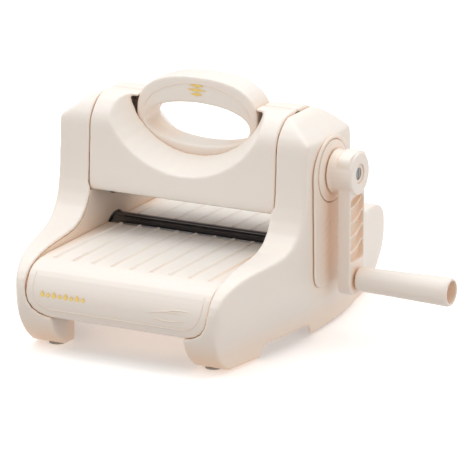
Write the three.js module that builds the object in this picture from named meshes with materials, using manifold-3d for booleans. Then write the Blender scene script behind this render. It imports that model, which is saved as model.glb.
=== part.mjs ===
// A hand-cranked die cutting machine: two hollow side shells, a hollow centre cover with a
// carrying handle, ribbed feed trays, and a steel frame that holds two geared steel rollers.
// Millimetres. X is across the machine (crank on +X), Y is the feed direction, Z is up.
import * as THREE from 'three';
import { mergeVertices } from 'three/addons/utils/BufferGeometryUtils.js';
import Module from 'manifold-3d';

const wasm = await Module();
wasm.setup();

// Driving dimensions
const FEED_WIDTH = 155;            // clear width between the side shells
const DEPTH = 290;                 // front bulge to rear bulge
const SHELL_FLARE = 30.5;          // how far the side shell stands out beyond the feed at mid depth
const END_FLARE = 11.5;            // the same at the front and rear bulges
const WALL = 2.5;                  // moulded wall
const GAP = 0.3;                   // between pieces that touch or sit flush
const RUN = 0.5;                   // between turning pieces
const FOOT_TALL = 2;               // rubber foot below the mouldings
const TRAY_Z = 68.5;               // feed surface
const SHOULDER_Z = 174;            // top of the centre cover
const HANDLE_TOP = 193;
const ROLLER_R = 15.75;
const ROLLER_GAP = 16.5;           // between the rollers, for the sandwich of plates
const LOWER_Z = 57.25;             // lower roller axis
const SHAFT_R = 5;
const CRANK_RISE = 24.75;          // crank axis above the upper roller axis
const ARM_LENGTH = 82.5;           // crank axis to grip axis
const ARM_WIDE = 25;
const ARM_THICK = 12;
const GRIP_LENGTH = 77;
const GRIP_R_IN = 9.5;
const GRIP_R_OUT = 11.2;
const PLATE = 3;                   // steel frame plate
const GEAR_WIDE = 6;
const GEAR_MODULE = 2;
const TIMING_MODULE = 2;
const PINION_TEETH = 10;
const IDLER_TEETH = 24;
const IDLER_PINION_TEETH = 12;
const RIB_COUNT = 9;
const ROD_R = 4;
const SCREW_R = 1.6;

// Derived sizes
const halfFeed = FEED_WIDTH / 2;
const seamX = halfFeed + WALL;                     // seam between centre cover and side shell
const shellX = halfFeed + GAP;                     // inboard edge of the side shell
const sideX = halfFeed + SHELL_FLARE;              // outermost face of the side shell
const halfDepth = DEPTH / 2;
const upperZ = LOWER_Z + 2 * ROLLER_R + ROLLER_GAP;
const crankZ = upperZ + CRANK_RISE;
// The drive gear is as large as fills the way down from the crank to the lower roller
const driveTeeth = Math.ceil((2 * (crankZ - LOWER_Z) + 2.5) / GEAR_MODULE)
  - PINION_TEETH - IDLER_TEETH - IDLER_PINION_TEETH;
const plateX = seamX + 1;
const gearX = plateX + PLATE + 1.5;
const gearEnd = gearX + 2 * GEAR_WIDE + 1;
const panelBottom = 29;                            // lower edge of the front and rear fascias
const footX = 56;                                  // inner face of the feet
const columnY = 40;                                // front of the upright part
const armX = sideX + 12;
const gripX = armX + ARM_THICK + RUN;

// Solids: merging vertices turns a geometry into a closed mesh that can be cut and joined
function solid(geometry) {
  const bare = geometry.index ? geometry.toNonIndexed() : geometry.clone();
  bare.deleteAttribute('normal');
  bare.deleteAttribute('uv');
  const merged = mergeVertices(bare, 1e-4);
  return new wasm.Manifold(new wasm.Mesh({
    numProp: 3,
    vertProperties: new Float32Array(merged.attributes.position.array),
    triVerts: new Uint32Array(merged.index.array),
  }));
}

function toGeometry(manifold) {
  const mesh = manifold.getMesh();
  const geometry = new THREE.BufferGeometry();
  geometry.setAttribute('position', new THREE.BufferAttribute(new Float32Array(mesh.vertProperties), 3));
  geometry.setIndex(new THREE.BufferAttribute(new Uint32Array(mesh.triVerts), 1));
  const flat = geometry.toNonIndexed();
  flat.computeVertexNormals();
  return flat;
}

// The same solid on the other side of the machine
function acrossX(manifold) {
  const geometry = toGeometry(manifold);
  const point = geometry.attributes.position;
  for (let i = 0; i < point.count; i += 1) point.setX(i, -point.getX(i));
  for (let i = 0; i < point.count; i += 3) {
    const second = new THREE.Vector3().fromBufferAttribute(point, i + 1);
    const third = new THREE.Vector3().fromBufferAttribute(point, i + 2);
    point.setXYZ(i + 1, ...third);
    point.setXYZ(i + 2, ...second);
  }
  return solid(geometry);
}

const join = (pieces) => pieces.reduce((all, piece) => all.add(piece));
const cut = (body, pieces) => pieces.reduce((left, piece) => left.subtract(piece), body);

// An outline with rounded corners: each corner is [across, up, radius]
function rounded(corners) {
  const shape = new THREE.Shape();
  corners.forEach(([a, b, radius = 0], i) => {
    const here = new THREE.Vector2(a, b);
    const before = new THREE.Vector2(...corners.at(i - 1).slice(0, 2));
    const after = new THREE.Vector2(...corners[(i + 1) % corners.length].slice(0, 2));
    const reachIn = Math.min(radius, here.distanceTo(before) * 0.49);
    const reachOut = Math.min(radius, here.distanceTo(after) * 0.49);
    const start = here.clone().lerp(before, reachIn / here.distanceTo(before));
    const end = here.clone().lerp(after, reachOut / here.distanceTo(after));
    if (i === 0) shape.moveTo(start.x, start.y);
    else shape.lineTo(start.x, start.y);
    if (radius > 0) shape.quadraticCurveTo(a, b, end.x, end.y);
  });
  shape.closePath();
  return shape;
}

// The same corners moved inwards by a wall thickness (corners run anticlockwise)
function inset(corners, wall) {
  return corners.map(([a, b, radius = 0], i) => {
    const before = corners.at(i - 1);
    const after = corners[(i + 1) % corners.length];
    const inA = new THREE.Vector2(a - before[0], b - before[1]).normalize();
    const inB = new THREE.Vector2(after[0] - a, after[1] - b).normalize();
    const normalA = new THREE.Vector2(-inA.y, inA.x);
    const normalB = new THREE.Vector2(-inB.y, inB.x);
    const sum = normalA.clone().add(normalB);
    const scale = wall / (1 + normalA.dot(normalB));
    return [a + sum.x * scale, b + sum.y * scale, radius];
  });
}

const mirrored = (corners) => corners.map(([a, b, radius]) => [-a, b, radius]).reverse();
const circle = (radius, a = 0, b = 0) => new THREE.Shape().absarc(a, b, radius, 0, 2 * Math.PI);

// Prisms along each axis; a shape's own axes lie along the two other directions
function prism(shape, from, to, axis, curveSegments = 5) {
  const geometry = new THREE.ExtrudeGeometry(shape, { depth: to - from, bevelEnabled: false, curveSegments });
  geometry.translate(0, 0, from);
  const basis = new THREE.Matrix4();
  const [x, y, z] = [new THREE.Vector3(1, 0, 0), new THREE.Vector3(0, 1, 0), new THREE.Vector3(0, 0, 1)];
  if (axis === 'x') basis.makeBasis(y, z, x);
  if (axis === 'y') basis.makeBasis(z, x, y);
  return geometry.applyMatrix4(basis);
}

const alongX = (shape, from, to, segments) => solid(prism(shape, from, to, 'x', segments));
const alongZ = (shape, from, to, segments) => solid(prism(shape, from, to, 'z', segments));

// For a prism along Y the shape is given as [across, up], so its corners are swapped to [up, across]
function alongY(corners, from, to, segments) {
  const swapped = corners.map(([a, b, radius]) => [b, a, radius]).reverse();
  return solid(prism(rounded(swapped), from, to, 'y', segments));
}

function box(x0, x1, y0, y1, z0, z1) {
  const geometry = new THREE.BoxGeometry(x1 - x0, y1 - y0, z1 - z0);
  return solid(geometry.translate((x0 + x1) / 2, (y0 + y1) / 2, (z0 + z1) / 2));
}

// A turned piece along X: the profile is a list of [radius, place along X], from axis to axis
function turned(profile, y = 0, z = 0, segments = 24) {
  const points = profile.map(([radius, along]) => new THREE.Vector2(radius, along));
  const geometry = new THREE.LatheGeometry(points, segments);
  geometry.rotateZ(-Math.PI / 2);
  return solid(geometry.translate(0, y, z));
}

const rod = (radius, from, to, y, z, segments = 24) =>
  turned([[0, from], [radius, from], [radius, to], [0, to]], y, z, segments);

const post = (radius, x, y, from, to) => {
  const geometry = new THREE.CylinderGeometry(radius, radius, to - from, 12).rotateX(Math.PI / 2);
  return solid(geometry.translate(x, y, (from + to) / 2));
};

// Scene graph and finishes
const machine = new THREE.Group();
const FINISH = {
  shell: { color: 0xe9e2da, roughness: 0.45, metalness: 0 },
  cover: { color: 0xeee9e2, roughness: 0.42, metalness: 0 },
  inner: { color: 0xd9ccc0, roughness: 0.6, metalness: 0 },
  steel: { color: 0x8d8f93, roughness: 0.35, metalness: 1 },
  plate: { color: 0x6d7076, roughness: 0.5, metalness: 1 },
  brass: { color: 0xb99a58, roughness: 0.4, metalness: 1 },
  rubber: { color: 0x2c2a29, roughness: 0.9, metalness: 0 },
  black: { color: 0x1d1d1f, roughness: 0.5, metalness: 0.6 },
  chrome: { color: 0xd6d8dc, roughness: 0.12, metalness: 1 },
};

function addNode(name, manifold, finish, place = [0, 0, 0]) {
  const mesh = new THREE.Mesh(toGeometry(manifold), new THREE.MeshStandardMaterial(FINISH[finish]));
  mesh.name = name;
  mesh.position.set(...place);
  machine.add(mesh);
}

// Side shells. The side view is like an armchair, the same at the front and rear.
const seatZ = TRAY_Z + 6;
const frontHalf = [
  [-halfDepth + 24, FOOT_TALL, 4], [-halfDepth + 8, 14, 10], [-halfDepth, 34, 12], [-halfDepth, 54, 12],
  [-halfDepth + 14, 68, 14], [-halfDepth + 42, seatZ, 24], [-columnY - 17, seatZ + 3, 22],
  [-columnY, seatZ + 26, 20], [-columnY + 3, SHOULDER_Z - 16, 8], [-columnY + 18, SHOULDER_Z, 14],
];
const sideOutline = [...frontHalf, ...mirrored(frontHalf)].reverse();
const flareHalf = [
  [halfFeed + END_FLARE - 4, -halfDepth, 6], [halfFeed + END_FLARE, -halfDepth + 10, 20],
  [sideX, -columnY, 30],
];
const tuck = 0.09;                 // how much narrower the shell is at the floor
const tuckZ = 42;

// The plan flares from the bulges to mid depth, and tucks in towards the floor
function flaredBlock(wall) {
  const reach = flareHalf.map(([x, y, radius]) => [x - wall, y < -columnY ? y + wall : y, radius]);
  const back = reach.map(([x, y, radius]) => [x, -y, radius]).reverse();
  const corners = [[0, reach[0][1]], ...reach, ...back, [0, -reach[0][1]]];
  const levels = 4;
  const geometry = new THREE.ExtrudeGeometry(rounded(corners), {
    depth: levels + 1, bevelEnabled: false, curveSegments: 3, steps: levels + 1,
  });
  const point = geometry.attributes.position;
  for (let i = 0; i < point.count; i += 1) {
    const level = Math.round(point.getZ(i));
    const low = Math.max(0, 1 - level / levels);
    point.setX(i, point.getX(i) * (1 - tuck * low * low * (3 - 2 * low)));
    point.setZ(i, level > levels ? HANDLE_TOP : (level / levels) * tuckZ);
  }
  return solid(geometry);
}

// The shoulder slopes down and outwards from the centre cover
function shoulderBlock(wall) {
  const drop = 17;
  const corners = [
    [0, -1], [sideX + 5, -1], [sideX + 5, SHOULDER_Z - drop - 8 - wall],
    [sideX - 2, SHOULDER_Z - drop - wall, 8], [seamX + 4, SHOULDER_Z - 1 - wall, 8], [0, SHOULDER_Z - wall],
  ];
  return alongY(corners, -halfDepth, halfDepth);
}

function shellForm(wall) {
  const side = alongX(rounded(inset(sideOutline, wall)), shellX - (wall ? 5 : 0), sideX + 5, 3);
  return side.intersect(flaredBlock(wall)).intersect(shoulderBlock(wall));
}

// Feet reach inboard under the fascia, hollow and joined to the shell's cavity
const footBack = halfDepth - 62;                   // where the arch in the lower edge starts
const footReach = halfDepth - 40;                  // rear face of the part that reaches inboard
function footForm(wall, side) {
  const [from, to] = side < 0 ? [-halfDepth, -footReach - wall] : [footReach + wall, halfDepth];
  const block = box(footX + wall, shellX + (wall ? 4 : 1), from, to, 0, panelBottom - GAP - wall);
  return block.intersect(alongX(rounded(inset(sideOutline, wall)), 0, sideX, 4)).intersect(flaredBlock(wall));
}

const fasciaCorner = 26;
const fasciaOutline = (grow) => [
  [-halfFeed - grow, panelBottom - 0.5 - grow, fasciaCorner],
  [halfFeed + grow, panelBottom - 0.5 - grow, fasciaCorner],
  [halfFeed + grow, TRAY_Z + 9], [-halfFeed - grow, TRAY_Z + 9],
];

// The shell's skin carries on round the lower corner of the fascia
function cornerWebs() {
  const skin = alongX(rounded(sideOutline), footX, shellX + 1, 4)
    .subtract(alongX(rounded(inset(sideOutline, WALL)), 0, sideX, 4))
    .intersect(flaredBlock(0));
  const zone = box(footX - 6, shellX + 1, -halfDepth, halfDepth, panelBottom - 1, panelBottom + 24);
  const frontOnly = box(0, sideX, -halfDepth + 22, halfDepth - 22, 0, SHOULDER_Z);
  return skin.intersect(zone).subtract(frontOnly)
    .subtract(alongY(fasciaOutline(GAP), -halfDepth - 1, halfDepth + 1, 6));
}

// The low arch in the lower edge between the front foot and mid depth
const archBack = -12;
const archTall = 12;
const arch = alongX(rounded([
  [-footBack, -5], [archBack, -5], [archBack - 5, archTall, 12], [-footBack + 3, archTall, 6],
]), 0, sideX + 5);

const coverOutline = [
  [-GAP, SHOULDER_Z], [-columnY + 18, SHOULDER_Z, 14], [-columnY + 3, SHOULDER_Z - 16, 8],
  [-columnY, seatZ + 26, 10], [-columnY + 5, seatZ + 26, 4],
  [-ROLLER_R - 3, upperZ - 9, 2], [-GAP, upperZ - 9],
];
const recessClear = 9;             // the recess runs out over the top of the shell
const recessFront = coverOutline.slice(1)
  .map(([y, z, radius]) => [y - 1, z > SHOULDER_Z - 20 ? z + recessClear : z, radius]);
const coverRecess = [[1, SHOULDER_Z + recessClear], ...recessFront, [1, upperZ - recessClear]];
const recessFor = [coverRecess, mirrored(coverRecess)].map((corners) =>
  alongX(rounded(inset(corners, -GAP)), 0, seamX + GAP, 6));

function sideShell() {
  const feet = [footForm(0, -1), footForm(0, 1)];
  const hollows = [shellForm(WALL), footForm(WALL, -1), footForm(WALL, 1)];
  const floorOpening = box(shellX - 1, sideX, -footBack + 4, footBack - 4, -1, archTall + 8)
    .intersect(flaredBlock(WALL));
  return cut(join([shellForm(0), ...feet, cornerWebs()]), [...hollows, floorOpening, arch, ...recessFor]);
}

const rightShell = sideShell();
const crankHole = rod(17, sideX - 10, sideX + 5, 0, crankZ);
addNode('right_side_shell', rightShell.subtract(crankHole), 'shell');
addNode('left_side_shell', acrossX(rightShell), 'shell');

// Centre cover: two thin hollow halves that meet behind and in front of the carrying handle.
// A shallow conical scoop in each leaves finger room round the handle.
const handleHalf = 13;
const handleCentre = 160;
const holeCentre = 155.6;
const scoopCentre = HANDLE_TOP - 5;
const scoopNear = 69;
const scoopFar = 55.5;
const scoopWide = 1.08;            // wider than it is tall

function oval(halfWide, halfTall, centre, steps = 36, squareness = 2.5) {
  const bulge = (value) => Math.sign(value) * Math.abs(value) ** (2 / squareness);
  return Array.from({ length: steps }, (_, i) => {
    const angle = (2 * Math.PI * i) / steps;
    return [halfWide * bulge(Math.cos(angle)), centre + halfTall * bulge(Math.sin(angle))];
  });
}

// A shallow cone whose axis runs along the feed direction; extra deepens it by a wall
function scoop(extra) {
  const [near, far] = [columnY + 2, handleHalf];
  const profile = [[0, -near], [scoopNear + extra, -near], [scoopFar + extra, -far], [0, -far]]
    .map(([radius, y]) => new THREE.Vector2(radius, y));
  return solid(new THREE.LatheGeometry(profile, 40).scale(scoopWide, 1, 1).translate(0, 0, scoopCentre));
}

const handleOutline = (grow) => oval(52.5 + grow, HANDLE_TOP - handleCentre + grow, handleCentre);
const rollerSpace = alongX(circle(ROLLER_R + RUN + 0.5, 0, upperZ), -seamX, seamX, 10);

function coverHalf() {
  const outer = alongX(rounded(coverOutline), -seamX + GAP, seamX - GAP, 4);
  const hollowCorners = inset(coverOutline, WALL)
    .map(([y, z, radius]) => [y > -5 ? 1 : y, z < 110 ? z - 6 : z, radius]);
  const hollow = alongX(rounded(hollowCorners), -sideX, sideX, 4);
  const lapReach = plateX - GAP;
  const lapClear = 1.8;            // the lap sits this far under the shell's skin
  const above = box(-sideX, sideX, -halfDepth, 0 - GAP, seatZ + 36, SHOULDER_Z);
  const lap = alongX(rounded(inset(coverOutline, WALL - 0.5)), -lapReach + 5, lapReach - 5, 3)
    .add(alongX(rounded(inset(coverOutline, WALL + lapClear)), -lapReach, lapReach, 3))
    .subtract(alongX(rounded(inset(coverOutline, WALL + lapClear + 1.5)), -sideX, sideX, 3))
    .subtract(box(-lapReach + 7, lapReach - 7, -halfDepth, 0, 0, HANDLE_TOP))
    .subtract(box(-sideX, sideX, -columnY / 2, 1, 0, SHOULDER_Z - 12))
    .intersect(above);
  return cut(join([outer.subtract(hollow), scoop(WALL).intersect(outer), lap]),
    [scoop(0), alongY(handleOutline(GAP), -handleHalf - GAP, handleHalf + GAP), rollerSpace]);
}

// The same solid turned half round, for pieces that are alike front and rear
const turnedRound = (manifold) => solid(toGeometry(manifold).rotateZ(Math.PI));

const frontCover = coverHalf();
addNode('front_cover', frontCover, 'cover');
addNode('rear_cover', turnedRound(frontCover), 'cover');

const handle = cut(alongY(handleOutline(0), -handleHalf, handleHalf), [
  alongY(oval(45, 16.5, holeCentre, 32, 2.1), -handleHalf - 1, handleHalf + 1),
  rollerSpace,
]);
addNode('carry_handle', handle, 'cover');

// Feed trays: a flat ribbed surface that rolls over into the front or rear fascia
const trayOutline = [
  [-ROLLER_R + 1.5, TRAY_Z], [-halfDepth + 14, TRAY_Z - 0.5, 20], [-halfDepth + 2, 50, 14],
  [-halfDepth + 1.5, 38, 4], [-halfDepth + 4, panelBottom], [-halfDepth + 4 + WALL, panelBottom],
  [-halfDepth + 1.5 + WALL, 38, 4], [-halfDepth + 2 + WALL, 50 - 1, 12],
  [-halfDepth + 14 + 1, TRAY_Z - 0.5 - WALL, 18], [-ROLLER_R + 1.5, TRAY_Z - WALL],
];
const ribPitch = FEED_WIDTH / (RIB_COUNT + 0.45);
const screwPlaces = [[-40, -98], [40, -98]];
const basePlateZ = 20;

function feedTray() {
  const ribs = Array.from({ length: RIB_COUNT }, (_, i) => {
    const x = (i - (RIB_COUNT - 1) / 2) * ribPitch;
    return box(x - 0.8, x + 0.8, -halfDepth + 26, -ROLLER_R + 2.2, TRAY_Z - 2, TRAY_Z + 1.2);
  });
  const posts = screwPlaces.map(([x, y]) => post(4.5, x, y, basePlateZ + PLATE + GAP, TRAY_Z - 1));
  const holes = screwPlaces.map(([x, y]) => post(SCREW_R + GAP, x, y, basePlateZ, basePlateZ + 22));
  const sheet = alongX(rounded(trayOutline), -halfFeed - 5, halfFeed + 5, 5)
    .intersect(alongY(fasciaOutline(0), -halfDepth - 1, 0, 6));
  return cut(join([sheet, ...ribs, ...posts]), holes);
}
const frontTray = feedTray();
addNode('front_tray', frontTray, 'cover');
addNode('rear_tray', turnedRound(frontTray), 'cover');

// Steel frame plates, tied across by four rods
const lowRods = [[-62, 45], [62, 45]];
const highRods = [[-28, 118], [28, 118]];
const plateHalf = [[-92, 33, 6], [-92, 56, 8], [-34, 66, 20], [-33, 158, 8]];
const plateOutline = [...plateHalf, ...mirrored(plateHalf)].reverse();
const bushOuter = 6.4;
const rodEnd = ROD_R - 1.2;
const crankBushOuter = SHAFT_R + 2.5;
const studR = 3.5;

// Where two gear centre distances meet, below and beside the crank axis
function crossing(first, second, apart) {
  const down = (first * first - second * second + apart * apart) / (2 * apart);
  return { down, across: Math.sqrt(first * first - down * down) };
}
const idler = crossing(GEAR_MODULE * (PINION_TEETH + IDLER_TEETH) / 2,
  GEAR_MODULE * (IDLER_PINION_TEETH + driveTeeth) / 2, crankZ - LOWER_Z);
const idlerY = idler.across;
const idlerZ = crankZ - idler.down;

function framePlate(isRight) {
  const sheet = alongX(rounded(plateOutline), plateX, plateX + PLATE, 4);
  const bores = [[0, LOWER_Z, bushOuter], [0, upperZ, bushOuter]];
  if (isRight) bores.push([idlerY, idlerZ, studR], [0, crankZ, crankBushOuter]);
  const holes = [...bores, ...[...lowRods, ...highRods].map(([y, z]) => [y, z, rodEnd])];
  return cut(sheet, holes.map(([y, z, radius]) => rod(radius + GAP, 0, sideX, y, z, 16)));
}

// Side panels close the side shells beside the rollers
function sidePanel() {
  const sheet = alongX(rounded(inset(sideOutline, WALL + GAP)), shellX + GAP, shellX + WALL, 4)
    .intersect(box(0, sideX, -halfDepth, halfDepth, 24, seatZ + 26))
    .intersect(flaredBlock(WALL + GAP));
  const feet = [[-halfDepth - 1, -footReach + 1], [footReach - 1, halfDepth + 1]]
    .map(([from, to]) => box(0, sideX, from, to, 0, panelBottom + GAP));
  const rodHoles = lowRods.map(([y, z]) => rod(ROD_R + RUN, 0, sideX, y, z, 12));
  const rollerHoles = [LOWER_Z, upperZ].map((z) => rod(ROLLER_R + 1.2, 0, sideX, 0, z));
  return cut(sheet, [...recessFor, ...feet, ...rodHoles, ...rollerHoles]);
}

const panel = sidePanel();
addNode('right_side_panel', panel, 'inner');
addNode('left_side_panel', acrossX(panel), 'inner');
addNode('right_frame_plate', framePlate(true), 'plate');
addNode('left_frame_plate', acrossX(framePlate(false)), 'plate');

const rodNames = ['front_low_rod', 'rear_low_rod', 'front_high_rod', 'rear_high_rod'];
[...lowRods, ...highRods].forEach(([y, z], i) => {
  const shoulder = plateX - GAP;
  const tip = plateX + PLATE + 1;
  const profile = [[0, -tip], [rodEnd, -tip], [rodEnd, -shoulder], [ROD_R, -shoulder],
    [ROD_R, shoulder], [rodEnd, shoulder], [rodEnd, tip], [0, tip]];
  addNode(rodNames[i], turned(profile, y, z, 12), 'steel');
});

// Gears: involute teeth with shortened tips and 25 degree flanks
const PRESSURE = (25 * Math.PI) / 180;
const BACKLASH = 0.3;

function gearOutline(teeth, module, middle, bore) {
  const pitchR = (teeth * module) / 2;
  const baseR = pitchR * Math.cos(PRESSURE);
  const tipR = pitchR + 0.8 * module;
  const rootR = pitchR - 1.05 * module;
  const involute = (radius) => {
    const roll = Math.sqrt(Math.max(0, (radius / baseR) ** 2 - 1));
    return roll - Math.atan(roll);
  };
  const halfTooth = Math.PI / (2 * teeth) - BACKLASH / (2 * pitchR);
  const lowR = Math.max(baseR, rootR);
  const flank = [rootR, (lowR + pitchR) / 2, tipR];
  const points = [];
  for (let tooth = 0; tooth < teeth; tooth += 1) {
    const axis = middle + (2 * Math.PI * tooth) / teeth;
    const width = (r) => halfTooth + involute(pitchR) - involute(Math.max(r, baseR));
    flank.forEach((r) => points.push([r, axis - width(r)]));
    flank.slice().reverse().forEach((r) => points.push([r, axis + width(r)]));
  }
  const shape = new THREE.Shape(points.map(([r, a]) => new THREE.Vector2(r * Math.cos(a), r * Math.sin(a))));
  shape.holes.push(new THREE.Path().absarc(0, 0, bore, 0, 2 * Math.PI, true));
  return shape;
}

const gear = (teeth, module, middle, bore, from, y, z) => {
  const geometry = prism(gearOutline(teeth, module, middle, bore), from, from + GEAR_WIDE, 'x', 6);
  return solid(geometry.translate(0, y, z));
};

// A tooth of each driver points at the next axis, and a gap of the follower points back at it
const toIdler = Math.atan2(idlerZ - crankZ, idlerY);
const toDrive = Math.atan2(LOWER_Z - idlerZ, -idlerY);
const up = Math.PI / 2;
const gapAt = (angle, teeth) => angle + Math.PI + Math.PI / teeth;
const keyed = SHAFT_R + GAP;       // bore of a gear that is pinned to its shaft

addNode('crank_pinion',
  gear(PINION_TEETH, GEAR_MODULE, toIdler, keyed, gearX, 0, crankZ), 'steel');
addNode('compound_gear', join([
  gear(IDLER_TEETH, GEAR_MODULE, gapAt(toIdler, IDLER_TEETH), studR + GAP, gearX, idlerY, idlerZ),
  gear(IDLER_PINION_TEETH, GEAR_MODULE, toDrive, studR + GAP, gearX + GEAR_WIDE, idlerY, idlerZ),
]), 'steel');
const driveX = gearX + GEAR_WIDE + 1;
addNode('lower_drive_gear',
  gear(driveTeeth, GEAR_MODULE, gapAt(toDrive, driveTeeth), keyed, driveX, 0, LOWER_Z), 'steel');
const timingTeeth = Math.round((upperZ - LOWER_Z) / TIMING_MODULE);
const timingModule = (upperZ - LOWER_Z) / timingTeeth;
addNode('lower_timing_gear',
  gear(timingTeeth, timingModule, up, keyed, -gearX - GEAR_WIDE, 0, LOWER_Z), 'steel');
addNode('upper_timing_gear',
  gear(timingTeeth, timingModule, gapAt(up, timingTeeth), keyed, -gearX - GEAR_WIDE, 0, upperZ), 'steel');

// The idler turns on a headed stud riveted through the plate, held by a clip
const studGroove = gearEnd + 0.5;
addNode('idler_stud', turned([
  [0, plateX + 0.2], [studR, plateX + 0.2], [studR, studGroove], [studR - 0.8, studGroove],
  [studR - 0.8, studGroove + 1.6], [studR, studGroove + 1.6],
  [studR, studGroove + 2.6], [0, studGroove + 2.6],
], idlerY, idlerZ, 24), 'steel');
const clip = (inner, outer, from, thick, y, z) => turned([
  [inner, from], [outer, from], [outer, from + thick], [inner, from + thick], [inner, from],
], y, z, 24);
addNode('idler_clip', clip(studR - 0.5, studR + 2, studGroove + GAP, 1, idlerY, idlerZ), 'black');

// Rollers: steel tubes with fine lengthwise flutes, closed by their own stub shafts
const rollerHalf = halfFeed - 1.5;
function roller(z) {
  const flutes = 24;
  const outline = new THREE.Shape(Array.from({ length: flutes * 2 }, (_, i) => {
    const angle = (Math.PI * i) / flutes;
    const radius = i % 2 ? ROLLER_R - 0.5 : ROLLER_R;
    return new THREE.Vector2(radius * Math.cos(angle), z + radius * Math.sin(angle));
  }));
  outline.holes.push(new THREE.Path().absarc(0, z, SHAFT_R + GAP, 0, 2 * Math.PI, true));
  return alongX(outline, -rollerHalf, rollerHalf, 6);
}
addNode('lower_roller', roller(LOWER_Z), 'steel');
addNode('upper_roller', roller(upperZ), 'steel');
const leftEnd = -gearX - GEAR_WIDE - 2;
addNode('lower_roller_shaft', rod(SHAFT_R, leftEnd, driveX + GEAR_WIDE + 2, 0, LOWER_Z, 24), 'steel');
addNode('upper_roller_shaft', rod(SHAFT_R, leftEnd, plateX + PLATE, 0, upperZ, 24), 'steel');

// Flanged brass bushes in the frame plates
function bush(inner, outer, z, side) {
  const [flangeX, backX] = [plateX - 1.5, plateX + PLATE + 0.8];
  const profile = [[inner, flangeX], [outer + 1.2, flangeX], [outer + 1.2, plateX - GAP],
    [outer, plateX - GAP], [outer, backX], [inner, backX], [inner, flangeX]];
  const ring = turned(profile, 0, z, 16);
  return side > 0 ? ring : acrossX(ring);
}
for (const [word, z] of [['lower', LOWER_Z], ['upper', upperZ]]) {
  addNode(`${word}_right_bush`, bush(SHAFT_R + 0.25, bushOuter, z, 1), 'brass');
  addNode(`${word}_left_bush`, bush(SHAFT_R + 0.25, bushOuter, z, -1), 'brass');
}
addNode('crank_inner_bush', bush(SHAFT_R + 0.25, crankBushOuter, crankZ, 1), 'brass');

// Crank boss: a stepped disc moulded round the crank bearing, seated in the side shell
const bossR = 24;
const bossX = sideX + GAP;
addNode('crank_boss', turned([
  [SHAFT_R + 0.25, sideX - WALL - 6], [16.5, sideX - WALL - 6], [16.5, bossX], [bossR, bossX],
  [bossR, bossX + 1.6], [bossR - 1.5, bossX + 2.2], [bossR - 5, bossX + 2.8], [SHAFT_R + 0.25, bossX + 2.8],
  [SHAFT_R + 0.25, sideX - WALL - 6],
], 0, crankZ, 32), 'shell');

// Raised band down the middle of each side shell, with a round top about the crank axis
const bandHalf = 31;
const bandRise = bossR + 3;
const bandThick = 1.6;
const bandOutline = new THREE.Shape();
bandOutline.absellipse(0, crankZ, bandHalf, bandRise, 0, Math.PI);
bandOutline.lineTo(-bandHalf + 2, tuckZ + 14);
bandOutline.quadraticCurveTo(-bandHalf + 2, tuckZ, -bandHalf + 16, tuckZ);
bandOutline.lineTo(bandHalf - 16, tuckZ);
bandOutline.quadraticCurveTo(bandHalf - 2, tuckZ, bandHalf - 2, tuckZ + 14);
const bandSheet = alongX(bandOutline, bossX, bossX + bandThick, 12);
addNode('right_side_band', bandSheet.subtract(rod(bossR + GAP, 0, armX, 0, crankZ, 32)), 'shell');
addNode('left_side_band', acrossX(bandSheet), 'shell');

// Crank: keyed shaft, hub and arm in one moulding, and a hollow grip that turns on a pin
const hubBase = armX - 8;
const shaftEnd = armX + ARM_THICK - 8;
addNode('crank_shaft', turned([
  [0, plateX - 2.5], [SHAFT_R, plateX - 2.5], [SHAFT_R, shaftEnd], [1.9, shaftEnd],
  [1.9, shaftEnd - 9], [0, shaftEnd - 9],
], 0, crankZ, 24), 'steel');

const gripZ = crankZ - ARM_LENGTH;
const armHalf = ARM_WIDE / 2;
const pocketHalf = armHalf - 1.5;
function crankArm() {
  const bar = alongX(rounded([
    [-armHalf, gripZ - armHalf, 11.5], [armHalf, gripZ - armHalf, 11.5], [armHalf, crankZ - 4, 3],
    [armHalf + 4, crankZ + 12, 11], [6, crankZ + 17.5, 9], [-6, crankZ + 17.5, 9],
    [-armHalf - 4, crankZ + 12, 11], [-armHalf, crankZ - 4, 3],
  ]), armX, armX + ARM_THICK - 1.5, 5);
  const hub = turned([
    [0, hubBase], [17.5, hubBase], [16.5, hubBase + 3], [16.5, armX + ARM_THICK - 0.5],
    [15.5, armX + ARM_THICK + 0.5], [0, armX + ARM_THICK + 0.5],
  ], 0, crankZ, 28);
  const face = armX + ARM_THICK;
  const pocket = alongX(rounded([
    [-pocketHalf, gripZ + 14.5, 4], [pocketHalf, gripZ + 14.5, 4],
    [pocketHalf, crankZ - 17.5, 4], [-pocketHalf, crankZ - 17.5, 4],
  ]), face - 7, face + 3, 4);
  const ribs = [0, 1, 2, 3].map((i) => {
    const z = gripZ + 21 + i * 11.5;
    return alongX(rounded([
      [-armHalf + 1, z], [3, z + 1.5, 7], [armHalf - 1, z + 8],
      [armHalf - 1, z + 9.4], [3, z + 2.9, 7], [-armHalf + 1, z + 1.4],
    ]), face - 8, face - 2.5, 3);
  });
  const cap = rod(7.5, face - 4, face + 6, 0, crankZ, 28);
  const shaftBore = rod(SHAFT_R + GAP, 0, shaftEnd + GAP, 0, crankZ, 24);
  const screwBore = rod(2.2, 0, face + 6, 0, crankZ, 16);
  const pinBore = rod(3 + GAP, 0, face + 6, 0, gripZ, 20);
  return cut(join([bar, hub]).subtract(pocket).add(join(ribs)), [cap, shaftBore, screwBore, pinBore]);
}
addNode('crank_arm', crankArm(), 'cover');

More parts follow.
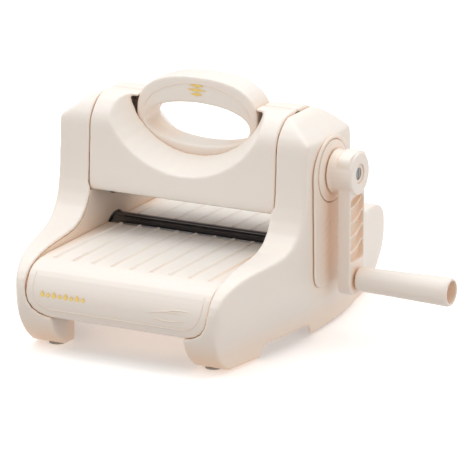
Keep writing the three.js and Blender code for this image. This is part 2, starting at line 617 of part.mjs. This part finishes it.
// A headed screw along X: the head faces +X, with a slot across it
function headedScrew(shank, head, headThick, from, seat, y, z) {
  const body = turned([[0, from], [shank, from], [shank, seat], [head, seat],
    [head, seat + headThick - 0.6], [head - 0.8, seat + headThick], [0, seat + headThick]], y, z, 24);
  const slotDeep = headThick * 0.4;
  const face = seat + headThick;
  return body.subtract(box(face - slotDeep, face + 1, y - 0.5, y + 0.5, z - head, z + head));
}
addNode('crank_screw',
  headedScrew(SCREW_R, 6, 2.4, shaftEnd - 8, armX + ARM_THICK - 4 + GAP, 0, crankZ), 'black');

const gripEnd = gripX + GRIP_LENGTH;
addNode('grip_pin', turned([
  [0, armX - 1.5], [5, armX - 1.5], [5, armX - GAP], [3, armX - GAP], [3, gripEnd - 12],
  [1.7, gripEnd - 12], [1.7, gripEnd - 22], [0, gripEnd - 22],
], 0, gripZ, 24), 'steel');
addNode('grip_sleeve', turned([
  [3 + RUN, gripX], [GRIP_R_IN - 1, gripX], [GRIP_R_IN, gripX + 1], [GRIP_R_IN + 0.2, gripX + 20],
  [GRIP_R_OUT, gripEnd - 2], [GRIP_R_OUT - 1, gripEnd], [GRIP_R_OUT - 2.5, gripEnd],
  [GRIP_R_OUT - 2.5, gripEnd - 10], [3 + RUN, gripEnd - 10.8], [3 + RUN, gripX],
], 0, gripZ, 28), 'shell');
addNode('grip_screw', headedScrew(1.4, 5.2, 2.2, gripEnd - 21, gripEnd - 10 + RUN, 0, gripZ), 'chrome');

// Base plate, screwed up into the tray posts, and rubber feet under the side shells
const baseCorners = [
  [-halfFeed + 0.5, -footBack + 3, 4], [-footX + 1, -footBack + 3, 1], [-footX + 1, -halfDepth + 30, 6],
  [footX - 1, -halfDepth + 30, 6], [footX - 1, -footBack + 3, 1], [halfFeed - 0.5, -footBack + 3, 4],
];
const baseBack = baseCorners.map(([x, y, radius]) => [-x, -y, radius]);
const baseHoles = [-1, 1].flatMap((side) => screwPlaces.map(([x, y]) => [x, side * y]));
addNode('base_plate', cut(
  alongZ(rounded([...baseCorners, ...baseBack]), basePlateZ, basePlateZ + PLATE, 4),
  baseHoles.map(([x, y]) => post(SCREW_R + GAP, x, y, basePlateZ - 1, basePlateZ + PLATE + 1)),
), 'inner');
baseHoles.forEach(([x, y], i) => {
  const head = post(3.4, x, y, basePlateZ - 2.6, basePlateZ - GAP);
  addNode(`base_screw_${i + 1}`, head.add(post(SCREW_R, x, y, basePlateZ - 1, basePlateZ + 18)), 'black');
});
const footPad = { x: footX + 11, y: footReach + 8 };
['front_left', 'front_right', 'rear_left', 'rear_right'].forEach((where, i) => {
  const x = i % 2 ? footPad.x : -footPad.x;
  const y = i < 2 ? -footPad.y : footPad.y;
  addNode(`${where}_foot`, post(6.5, x, y, 0, FOOT_TALL - GAP), 'rubber');
});

// The origin is on the floor under the middle of the whole machine, crank included
const reachRight = gripEnd;
const reachLeft = bossX + bandThick;
machine.position.x = (reachLeft - reachRight) / 2;
const placed = new THREE.Group();
placed.add(machine);

export default placed;
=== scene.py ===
import math
import bpy
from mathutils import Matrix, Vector


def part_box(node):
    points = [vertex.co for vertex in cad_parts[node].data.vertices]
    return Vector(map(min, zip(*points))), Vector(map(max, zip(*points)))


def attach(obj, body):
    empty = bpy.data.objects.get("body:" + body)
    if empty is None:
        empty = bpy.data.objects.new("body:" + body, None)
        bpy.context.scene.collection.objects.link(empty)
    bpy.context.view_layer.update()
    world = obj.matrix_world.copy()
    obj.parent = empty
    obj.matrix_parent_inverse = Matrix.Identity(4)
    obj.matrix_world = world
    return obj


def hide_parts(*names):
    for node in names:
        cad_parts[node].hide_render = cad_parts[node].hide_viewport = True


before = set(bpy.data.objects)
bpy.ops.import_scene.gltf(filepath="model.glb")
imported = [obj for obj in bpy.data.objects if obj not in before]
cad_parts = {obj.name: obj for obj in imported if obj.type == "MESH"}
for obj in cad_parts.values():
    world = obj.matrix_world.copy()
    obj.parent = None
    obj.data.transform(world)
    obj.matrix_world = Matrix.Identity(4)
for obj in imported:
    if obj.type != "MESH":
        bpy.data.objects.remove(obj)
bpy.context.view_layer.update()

# Camera: a long lens to the front right of the machine, a little above the handle. It looks at
# a point near the middle of the feed.
mm = 0.001
machine_x = (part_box("front_tray")[0][0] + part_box("front_tray")[1][0]) / 2
azimuth = math.radians(27.4)
elevation = math.radians(16.3)
distance = 3.077
aim = Vector((machine_x + 24.1 * mm, 0.0, 69.5 * mm))
towards_camera = Vector((math.sin(azimuth) * math.cos(elevation),
                         -math.cos(azimuth) * math.cos(elevation),
                         math.sin(elevation)))
camera_data = bpy.data.cameras.new("camera")
camera_data.lens = 309.7
camera_data.sensor_width = 36.0
camera_data.clip_end = 50.0
camera = bpy.data.objects.new("camera", camera_data)
bpy.context.scene.collection.objects.link(camera)
camera.location = aim + towards_camera * distance
camera.rotation_euler = (-towards_camera).to_track_quat("-Z", "Y").to_euler()
bpy.context.scene.camera = camera

# Studio: a white floor, a large soft key from the upper left, a larger light overhead and a weak
# fill from the right. Warm light from all round fills the shaded sides; the floor sends none back.
bpy.context.scene.view_settings.view_transform = "Standard"
world = bpy.data.worlds.new("studio")
world.use_nodes = True
world.node_tree.nodes["Background"].inputs["Color"].default_value = (1.0, 0.87, 0.78, 1.0)
world.node_tree.nodes["Background"].inputs["Strength"].default_value = 0.64
bpy.context.scene.world = world


def soft_light(name, place, size, power, colour=(0.95, 0.985, 1.0)):
    light = bpy.data.lights.new(name, "AREA")
    light.energy = power
    light.size = size
    light.color = colour
    lamp = bpy.data.objects.new(name, light)
    bpy.context.scene.collection.objects.link(lamp)
    lamp.location = place
    lamp.rotation_euler = (aim - Vector(place)).to_track_quat("-Z", "Y").to_euler()


soft_light("key_light", (-1.2, -0.6, 1.8), 1.8, 19.0)
soft_light("top_light", (0.1, 0.7, 1.9), 2.4, 24.0)
soft_light("right_fill", (1.8, -0.7, 0.7), 1.4, 6.5)

bpy.ops.mesh.primitive_plane_add(size=12.0, location=(0.0, 0.0, 0.0))
floor = bpy.context.object
floor.name = "studio_floor"
floor_paint = bpy.data.materials.new("floor_white")
floor_paint.use_nodes = True
floor_shader = floor_paint.node_tree.nodes["Principled BSDF"]
floor_shader.inputs["Base Color"].default_value = (0.93, 0.925, 0.92, 1.0)
floor_shader.inputs["Roughness"].default_value = 0.9
floor_shader.inputs["Specular IOR Level"].default_value = 0.1
floor_shader.inputs["Emission Color"].default_value = (0.92, 0.97, 1.0, 1.0)
floor_shader.inputs["Emission Strength"].default_value = 0.30
floor.data.materials.append(floor_paint)
floor.visible_diffuse = False


# Side shells: two hollow injection moulded shells of cream ABS, one each side, screwed to the
# steel frame from inside. Their edges are softly rounded and the surface has a fine spark texture.
def smooth_copy(node, name, voxel, rounds, keep=1.0, crisp=None, grow=0.0):
    """A moulded piece from its solid: corners melted to fillets, then thinned.
    crisp gives, from a point, how much of the melting reaches it: 0 at a seam, 1 away from it.
    grow brings the skin out by a tenth of a millimetre or so, which closes the seams."""
    bpy.ops.object.select_all(action="DESELECT")
    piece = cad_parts[node].copy()
    piece.data = piece.data.copy()
    piece.parent = None
    piece.name = name
    for key in list(piece.keys()):
        del piece[key]
    bpy.context.scene.collection.objects.link(piece)
    bpy.context.view_layer.objects.active = piece
    piece.select_set(True)
    bpy.ops.object.mode_set(mode="EDIT")
    bpy.ops.mesh.select_all(action="SELECT")
    bpy.ops.mesh.remove_doubles(threshold=0.00001)
    bpy.ops.object.mode_set(mode="OBJECT")
    remesh = piece.modifiers.new("remesh", "REMESH")
    remesh.mode = "VOXEL"
    remesh.voxel_size = voxel
    bpy.ops.object.modifier_apply(modifier=remesh.name)
    smooth = piece.modifiers.new("soften", "SMOOTH")
    smooth.factor = 0.5
    smooth.iterations = rounds
    if crisp:
        melt = piece.vertex_groups.new(name="melt")
        for vertex in piece.data.vertices:
            melt.add([vertex.index], crisp(vertex.co), "REPLACE")
        smooth.vertex_group = melt.name
    bpy.ops.object.modifier_apply(modifier=smooth.name)
    if grow:
        swell = piece.modifiers.new("swell", "DISPLACE")
        swell.mid_level = 0.0
        swell.strength = grow
        bpy.ops.object.modifier_apply(modifier=swell.name)
    if keep < 1.0:
        thin = piece.modifiers.new("thin", "DECIMATE")
        thin.ratio = keep
        bpy.ops.object.modifier_apply(modifier=thin.name)
    bpy.ops.object.shade_smooth()
    piece.data.materials.clear()
    piece.select_set(False)
    return piece


def moulded_plastic(name, colour, roughness, texture=0.035):
    """Moulded ABS: faint tone drift, a fine spark texture, slightly uneven gloss, and painted shade: a warm
    peach tint mixed into the base colour where other surfaces are near, in place of shade and warm bounce
    light in hollows and between parts.
    """
    material = bpy.data.materials.new(name)
    material.use_nodes = True
    nodes = material.node_tree.nodes
    links = material.node_tree.links
    shader = nodes["Principled BSDF"]
    place = nodes.new("ShaderNodeTexCoord")
    drift = nodes.new("ShaderNodeTexNoise")
    drift.inputs["Scale"].default_value = 14.0
    drift.inputs["Detail"].default_value = 3.0
    links.new(place.outputs["Object"], drift.inputs["Vector"])
    tone = nodes.new("ShaderNodeMix")
    tone.data_type = "RGBA"
    tone.inputs["A"].default_value = (*colour, 1.0)
    tone.inputs["B"].default_value = (*(channel * 0.97 for channel in colour), 1.0)
    links.new(drift.outputs["Fac"], tone.inputs["Factor"])
    # Painted shade: ambient occlusion mixes the base colour towards warm peach in hollows, corners and
    # between parts, standing in for shade and warm bounce light.
    hollow = nodes.new("ShaderNodeAmbientOcclusion")
    hollow.samples = 8
    hollow.inputs["Distance"].default_value = 0.03
    painted_warm_shade = nodes.new("ShaderNodeMix")
    painted_warm_shade.data_type = "RGBA"
    painted_warm_shade.inputs["A"].default_value = (0.93, 0.70, 0.52, 1.0)
    links.new(hollow.outputs["AO"], painted_warm_shade.inputs["Factor"])
    links.new(tone.outputs["Result"], painted_warm_shade.inputs["B"])
    links.new(painted_warm_shade.outputs["Result"], shader.inputs["Base Color"])
    gloss = nodes.new("ShaderNodeMapRange")
    gloss.inputs["To Min"].default_value = roughness - 0.05
    gloss.inputs["To Max"].default_value = roughness + 0.07
    links.new(drift.outputs["Fac"], gloss.inputs["Value"])
    links.new(gloss.outputs["Result"], shader.inputs["Roughness"])
    grain = nodes.new("ShaderNodeTexNoise")
    grain.inputs["Scale"].default_value = 1700.0
    grain.inputs["Detail"].default_value = 2.0
    links.new(place.outputs["Object"], grain.inputs["Vector"])
    bump = nodes.new("ShaderNodeBump")
    bump.inputs["Strength"].default_value = texture
    bump.inputs["Distance"].default_value = 0.0002
    links.new(grain.outputs["Fac"], bump.inputs["Height"])
    links.new(bump.outputs["Normal"], shader.inputs["Normal"])
    shader.inputs["IOR"].default_value = 1.5
    shader.inputs["Subsurface Weight"].default_value = 0.12
    shader.inputs["Subsurface Radius"].default_value = (1.0, 0.55, 0.35)
    shader.inputs["Subsurface Scale"].default_value = 0.004
    return material


def finish_piece(piece, material, body, *nodes_replaced, slot_name="white_plastic"):
    piece.data.materials.clear()
    piece.data.materials.append(material)
    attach(piece, body)
    if nodes_replaced:
        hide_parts(*nodes_replaced)


cream = moulded_plastic("cream_abs", (0.85, 0.835, 0.805), 0.38)
shell_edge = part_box("front_tray")[1][0] - machine_x
seam_close = 0.09 * mm


def ramp(value, start, end):
    return min(1.0, max(0.0, (value - start) / (end - start)))


def away_from_seam(point):
    """The seam with the cover and the trays stays tight; the outer edges are soft."""
    return 0.12 + 0.88 * ramp(abs(point.x - machine_x), shell_edge + 4.5 * mm, shell_edge + 11 * mm)


for side in ("left", "right"):
    shell = smooth_copy(f"{side}_side_shell", f"{side}_shell_moulding", voxel=1.2 * mm, rounds=22,
                        keep=0.5, crisp=away_from_seam, grow=seam_close)
    finish_piece(shell, cream, "body", f"{side}_side_shell")


# Centre cover: a front and a rear moulding that lap under the side shells, with a dished scoop
# round the handle. Same cream ABS; the edges of the dish are broad soft fillets.
def inside_cover(point):
    return 0.1 + 0.9 * (1 - ramp(abs(point.x - machine_x), shell_edge - 4 * mm, shell_edge + 1 * mm))


for name in ("front_cover", "rear_cover"):
    cover = smooth_copy(name, f"{name}_moulding", voxel=1.0 * mm, rounds=12, keep=0.55,
                        crisp=inside_cover, grow=seam_close)
    finish_piece(cover, cream, "body", name)


# Carrying handle: one thick hollow ring held between the two halves of the cover, with a fine
# parting line a few millimetres in from the edge of its front and rear faces.
handle = smooth_copy("carry_handle", "carry_handle_moulding", voxel=0.9 * mm, rounds=24, keep=0.7)
finish_piece(handle, cream, "body", "carry_handle")


def raised_line(name, points, radius, ends=1.0):
    """A round bead along a smooth path, half sunk in the surface that it lies on.
    ends is the thickness of its two ends, as a share of the thickness at the middle."""
    bpy.ops.object.select_all(action="DESELECT")
    bpy.ops.curve.primitive_nurbs_path_add(location=(0.0, 0.0, 0.0))
    line = bpy.context.object
    line.name = name
    line.data.splines.clear()
    spline = line.data.splines.new("NURBS")
    spline.points.add(len(points) - 1)
    for i, point in enumerate(points):
        spline.points[i].co = (*point, 1.0)
        spline.points[i].radius = ends + (1 - ends) * math.sin(math.pi * i / (len(points) - 1))
    spline.use_endpoint_u = True
    spline.order_u = 3
    line.data.dimensions = "3D"
    line.data.bevel_depth = radius
    line.data.bevel_resolution = 2
    line.data.use_fill_caps = True
    line.data.resolution_u = 4
    bpy.ops.object.convert(target="MESH")
    bpy.ops.object.shade_smooth()
    line.select_set(False)
    return line


def on_surface(piece, start, direction, lift=0.0):
    """The first point of a piece along a ray, lifted back by a small amount."""
    start = Vector(start)
    direction = Vector(direction).normalized()
    hit, point, _, _ = piece.ray_cast(start, direction)
    return tuple(point - direction * lift) if hit else None


def laid_on(piece, outline, inward):
    """An outline of (x, z) places laid on a piece's front face (inward 1) or rear face (inward -1)."""
    found = [on_surface(piece, (x, -inward, z), (0.0, inward, 0.0), 0.05 * mm) for x, z in outline]
    return [point for point in found if point]


handle_low, handle_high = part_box("carry_handle")
handle_mid_z = (handle_low[2] + handle_high[2]) / 2
handle_half = (handle_high[0] - handle_low[0]) / 2
parting_half = handle_half - 6 * mm
parting_tall = 27.5 * mm
parting_steps = 24
for word, inward in (("front", 1.0), ("rear", -1.0)):
    arch = []
    for step in range(parting_steps + 1):
        angle = math.radians(12 + 156 * step / parting_steps)
        arch.append((machine_x + parting_half * math.cos(angle),
                     handle_mid_z + parting_tall * math.sin(angle)))
    points = laid_on(handle, arch, inward)
    line = raised_line(f"handle_{word}_parting_line", points, 0.35 * mm)
    finish_piece(line, cream, "body")


# Feed trays: one moulding each for the front and rear, with nine low ribs that carry the cutting
# plates and a fascia that rolls over the end of the machine.
tray_pieces = {}
for name in ("front_tray", "rear_tray"):
    tray = smooth_copy(name, f"{name}_moulding", voxel=0.8 * mm, rounds=2, keep=0.5, grow=seam_close)
    finish_piece(tray, cream, "body", name)
    tray_pieces[name] = tray

# Fascia bead: a fine raised line that frames the fascia, and wraps up round its lower corners.
fascia_half = 71.5 * mm
fascia_low = 35.5 * mm
fascia_corner = 17 * mm
fascia_top = 61 * mm


def fascia_frame():
    """(x, z) points down one side, round the corner, along the bottom and up the other side."""
    corner_x = -fascia_half + fascia_corner
    corner_z = fascia_low + fascia_corner
    corner_steps = 6
    side = [(-fascia_half, fascia_top), (-fascia_half, corner_z + 3 * mm)]
    for step in range(corner_steps + 1):
        angle = math.radians(180 + 90 * step / corner_steps)
        side.append((corner_x + fascia_corner * math.cos(angle), corner_z + fascia_corner * math.sin(angle)))
    bottom_steps = 8
    bottom = [(corner_x - 2 * corner_x * step / bottom_steps, fascia_low) for step in range(1, bottom_steps)]
    other_side = [(-x, z) for x, z in reversed(side)]
    return side + bottom + other_side


for name, inward in (("front_tray", 1.0), ("rear_tray", -1.0)):
    frame_points = [(machine_x + x, z) for x, z in fascia_frame()]
    points = laid_on(tray_pieces[name], frame_points, inward)
    bead = raised_line(f"{name}_fascia_bead", points, 0.45 * mm)
    finish_piece(bead, cream, "body")


# Embossed flourish on the right of the front fascia: three tapering strokes moulded in low relief,
# each bowed a little up or down.
stroke_steps = 8


def stroke(name, piece, ends, sag, radius, inward, body="body"):
    """A leaf-like stroke from one (x, z) point to another, bowed by sag and tapered at both ends."""
    (x0, z0), (x1, z1) = ends
    places = []
    for step in range(stroke_steps + 1):
        t = step / stroke_steps
        bow = 4 * t * (1 - t) * sag
        places.append((x0 + (x1 - x0) * t, z0 + (z1 - z0) * t + bow))
    points = laid_on(piece, places, inward)
    line = raised_line(name, points, radius, ends=0.15)
    finish_piece(line, cream, body)


flourish = [((26, 45), (56, 47), 2.0), ((30, 42.5), (60, 43), -1.6), ((38, 47.5), (64, 49.5), 1.4)]
for count, ((x0, z0), (x1, z1), sag) in enumerate(flourish, start=1):
    ends = ((machine_x + x0 * mm, z0 * mm), (machine_x + x1 * mm, z1 * mm))
    stroke(f"fascia_flourish_{count}", tray_pieces["front_tray"], ends, sag * mm, 0.5 * mm, 1.0)


# Gilt ornament: small hot-stamped gold lozenges, a row on the fascia and a cluster on the handle.
# The foil is rubbed unevenly, which varies its tone.
gold = bpy.data.materials.new("gilt_foil")
gold.use_nodes = True
gold_shader = gold.node_tree.nodes["Principled BSDF"]
gold_shader.inputs["Metallic"].default_value = 0.75
gold_place = gold.node_tree.nodes.new("ShaderNodeTexCoord")
gold_rub = gold.node_tree.nodes.new("ShaderNodeTexNoise")
gold_rub.inputs["Scale"].default_value = 900.0
gold.node_tree.links.new(gold_place.outputs["Object"], gold_rub.inputs["Vector"])
gold_tone = gold.node_tree.nodes.new("ShaderNodeMix")
gold_tone.data_type = "RGBA"
gold_tone.inputs["A"].default_value = (0.72, 0.56, 0.20, 1.0)
gold_tone.inputs["B"].default_value = (0.58, 0.43, 0.13, 1.0)
gold.node_tree.links.new(gold_rub.outputs["Fac"], gold_tone.inputs["Factor"])
gold.node_tree.links.new(gold_tone.outputs["Result"], gold_shader.inputs["Base Color"])
gold_shader.inputs["Roughness"].default_value = 0.38


def lozenge(name, piece, x, z, wide, tall, inward=1.0):
    """A thin gold lozenge with softened edges, laid on the face of a piece."""
    spot = on_surface(piece, (x, -inward, z), (0.0, inward, 0.0), 0.12 * mm)
    bpy.ops.object.select_all(action="DESELECT")
    bpy.ops.mesh.primitive_cylinder_add(vertices=4, radius=0.5, depth=1.0, location=spot,
                                        rotation=(math.radians(90), 0.0, 0.0))
    chip = bpy.context.object
    chip.name = name
    chip.scale = (wide, tall, 0.3 * mm)
    bpy.ops.object.transform_apply(location=True, rotation=True, scale=True)
    bpy.ops.object.mode_set(mode="EDIT")
    bpy.ops.mesh.select_all(action="SELECT")
    bpy.ops.mesh.bevel(offset=0.1 * mm, segments=2)
    bpy.ops.mesh.normals_make_consistent(inside=False)
    bpy.ops.object.mode_set(mode="OBJECT")
    chip.select_set(False)
    finish_piece(chip, gold, "body", slot_name="white_plastic")


gilt_start = machine_x - 62.5 * mm
gilt_pitch = 5 * mm
gilt_z = 46.5 * mm
for count in range(8):
    tall = 7.2 if count % 2 == 0 else 4.4
    lozenge(f"fascia_gilt_{count + 1}", tray_pieces["front_tray"],
            gilt_start + count * gilt_pitch, gilt_z, 3.9 * mm, tall * mm)
handle_gilt_top = 186 * mm
handle_gilt_pitch = 3.4 * mm
for count, wide in enumerate((13, 17, 11)):
    lozenge(f"handle_gilt_{count + 1}", handle, machine_x, handle_gilt_top - count * handle_gilt_pitch,
            wide * mm, 2.8 * mm)


# Side bands: a raised panel down the middle of each side, moulded with two columns of leaf strokes
# that meet at its middle. The panel is set a little into the shell, so the strokes stay low.
band_sink = 0.3 * mm
leaf_depth = 0.25 * mm
leaf_count = 7
leaf_low = 53 * mm
leaf_pitch = 6.6 * mm
leaf_rise = 9 * mm
leaf_sag = -3.5 * mm
leaf_radius = 0.5 * mm


def side_stroke(name, piece, y0, y1, z0, outward):
    """A leaf from (y0, z0) up to y1, sunk in a band's face and thin at both ends."""
    places = []
    for step in range(stroke_steps + 1):
        t = step / stroke_steps
        bow = 4 * t * (1 - t) * leaf_sag
        start = (machine_x + outward * 0.2, y0 + (y1 - y0) * t, z0 + leaf_rise * t + bow)
        places.append(on_surface(piece, start, (-outward, 0.0, 0.0), -leaf_depth))
    points = [point for point in places if point]
    line = raised_line(name, points, leaf_radius, ends=0.12)
    finish_piece(line, cream, "body")


for side, outward in (("right", 1.0), ("left", -1.0)):
    band = smooth_copy(f"{side}_side_band", f"{side}_band_moulding", voxel=0.7 * mm, rounds=3, keep=0.6)
    band.select_set(True)
    bpy.ops.object.mode_set(mode="EDIT")
    bpy.ops.mesh.select_all(action="SELECT")
    bpy.ops.transform.translate(value=(-outward * band_sink, 0.0, 0.0))
    bpy.ops.object.mode_set(mode="OBJECT")
    band.select_set(False)
    finish_piece(band, cream, "body", f"{side}_side_band")
    for count in range(leaf_count):
        z = leaf_low + count * leaf_pitch
        side_stroke(f"{side}_band_leaf_{count + 1}", band, -25 * mm, 3 * mm, z, outward)
        side_stroke(f"{side}_band_leaf_{count + 1 + leaf_count}", band, 25 * mm, -1 * mm, z, outward)


# Crank boss, arm and grip: cream mouldings. The arm is keyed to the shaft and its outer face is
# pocketed with four curved ribs; the grip is a hollow tapered sleeve that turns on a steel pin.
boss = smooth_copy("crank_boss", "crank_boss_moulding", voxel=0.7 * mm, rounds=4, keep=0.6)
finish_piece(boss, cream, "body", "crank_boss")
arm = smooth_copy("crank_arm", "crank_arm_moulding", voxel=0.55 * mm, rounds=4, keep=0.7)
finish_piece(arm, cream, "crank", "crank_arm")

# Cap ring: a low cream ring pressed into the hub's recess, round the head of the crank screw.
cap_ring_proud = 0.2 * mm
cap_ring_flat = 0.55
screw_low, screw_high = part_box("crank_screw")
ring_place = (screw_high[0] + cap_ring_proud, (screw_low[1] + screw_high[1]) / 2,
              (screw_low[2] + screw_high[2]) / 2)
bpy.ops.object.select_all(action="DESELECT")
bpy.ops.mesh.primitive_torus_add(major_radius=6.1 * mm, minor_radius=1.3 * mm, major_segments=48,
                                 minor_segments=14, location=ring_place,
                                 rotation=(0.0, math.radians(90), 0.0))
cap_ring = bpy.context.object
cap_ring.name = "crank_cap_ring"
bpy.ops.object.mode_set(mode="EDIT")
bpy.ops.mesh.select_all(action="SELECT")
bpy.ops.transform.resize(value=(cap_ring_flat, 1.0, 1.0), center_override=ring_place)
bpy.ops.object.mode_set(mode="OBJECT")
bpy.ops.object.transform_apply(location=True, rotation=True, scale=True)
bpy.ops.object.shade_smooth()
cap_ring.select_set(False)
finish_piece(cap_ring, cream, "crank")
sleeve = smooth_copy("grip_sleeve", "grip_sleeve_moulding", voxel=0.6 * mm, rounds=4, keep=0.6)
finish_piece(sleeve, cream, "grip", "grip_sleeve")


# Metalwork and small parts: turned steel, cut gears, rolled frame plate, brass bushes, blackened
# and plated screws, and pale grey rubber feet. Each keeps its own shape and takes a finish.
def metal(name, colour, roughness, streak_scale, metallic=1.0, bump_height=0.02):
    """Worked metal: fine turning or rolling streaks that vary its tone and its gloss."""
    material = bpy.data.materials.new(name)
    material.use_nodes = True
    nodes = material.node_tree.nodes
    links = material.node_tree.links
    shader = nodes["Principled BSDF"]
    shader.inputs["Metallic"].default_value = metallic
    place = nodes.new("ShaderNodeTexCoord")
    stretch = nodes.new("ShaderNodeMapping")
    stretch.inputs["Scale"].default_value = streak_scale
    links.new(place.outputs["Object"], stretch.inputs["Vector"])
    streaks = nodes.new("ShaderNodeTexNoise")
    streaks.inputs["Scale"].default_value = 60.0
    streaks.inputs["Detail"].default_value = 5.0
    links.new(stretch.outputs["Vector"], streaks.inputs["Vector"])
    tone = nodes.new("ShaderNodeMix")
    tone.data_type = "RGBA"
    tone.inputs["A"].default_value = (*colour, 1.0)
    tone.inputs["B"].default_value = (*(channel * 0.7 for channel in colour), 1.0)
    links.new(streaks.outputs["Fac"], tone.inputs["Factor"])
    links.new(tone.outputs["Result"], shader.inputs["Base Color"])
    gloss = nodes.new("ShaderNodeMapRange")
    gloss.inputs["To Min"].default_value = roughness * 0.75
    gloss.inputs["To Max"].default_value = roughness * 1.3
    links.new(streaks.outputs["Fac"], gloss.inputs["Value"])
    links.new(gloss.outputs["Result"], shader.inputs["Roughness"])
    bump = nodes.new("ShaderNodeBump")
    bump.inputs["Strength"].default_value = bump_height
    bump.inputs["Distance"].default_value = 0.0003
    links.new(streaks.outputs["Fac"], bump.inputs["Height"])
    links.new(bump.outputs["Normal"], shader.inputs["Normal"])
    return material


along_x = (1.0, 30.0, 30.0)
steel = metal("ground_steel", (0.42, 0.42, 0.43), 0.30, along_x)
roller_steel = metal("fluted_roller_steel", (0.20, 0.20, 0.21), 0.34, along_x)
gear_steel = metal("cut_gear_steel", (0.50, 0.50, 0.51), 0.36, (20.0, 4.0, 4.0))
plate_steel = metal("rolled_plate", (0.34, 0.35, 0.37), 0.45, (1.0, 1.0, 18.0))
brass = metal("turned_brass", (0.72, 0.55, 0.26), 0.32, (30.0, 3.0, 3.0))
black = metal("blackened_steel", (0.03, 0.03, 0.032), 0.42, (8.0, 8.0, 8.0), 0.6)
plated = metal("bright_plating", (0.78, 0.78, 0.80), 0.14, (8.0, 8.0, 8.0))
rubber = metal("foot_rubber", (0.42, 0.39, 0.36), 0.85, (10.0, 10.0, 10.0), 0.0, 0.2)
# Inner side panels and base plate: the cream ABS made darker and warmer, a painted shade and warm bounce
# light for the parts under and inside the machine.
inner_painted_shade_plastic = moulded_plastic("painted_shade_inner_abs", (0.78, 0.70, 0.63), 0.55, 0.05)

finishes = {
    "right_side_panel": inner_painted_shade_plastic, "left_side_panel": inner_painted_shade_plastic, "base_plate": inner_painted_shade_plastic,
    "right_frame_plate": plate_steel, "left_frame_plate": plate_steel,
    "lower_roller": roller_steel, "upper_roller": roller_steel,
    "crank_pinion": gear_steel, "compound_gear": gear_steel, "lower_drive_gear": gear_steel,
    "lower_timing_gear": gear_steel, "upper_timing_gear": gear_steel,
    "crank_screw": plate_steel, "idler_clip": black, "grip_screw": plated,
}
for name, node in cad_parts.items():
    if "bush" in name:
        finishes[name] = brass
    if "foot" in name:
        finishes[name] = rubber
    if "base_screw" in name:
        finishes[name] = black
    if name not in finishes and ("shaft" in name or "rod" in name or "stud" in name or "pin" in name):
        finishes[name] = steel
for name, material in finishes.items():
    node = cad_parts[name]
    node.data.materials.clear()
    node.data.materials.append(material)
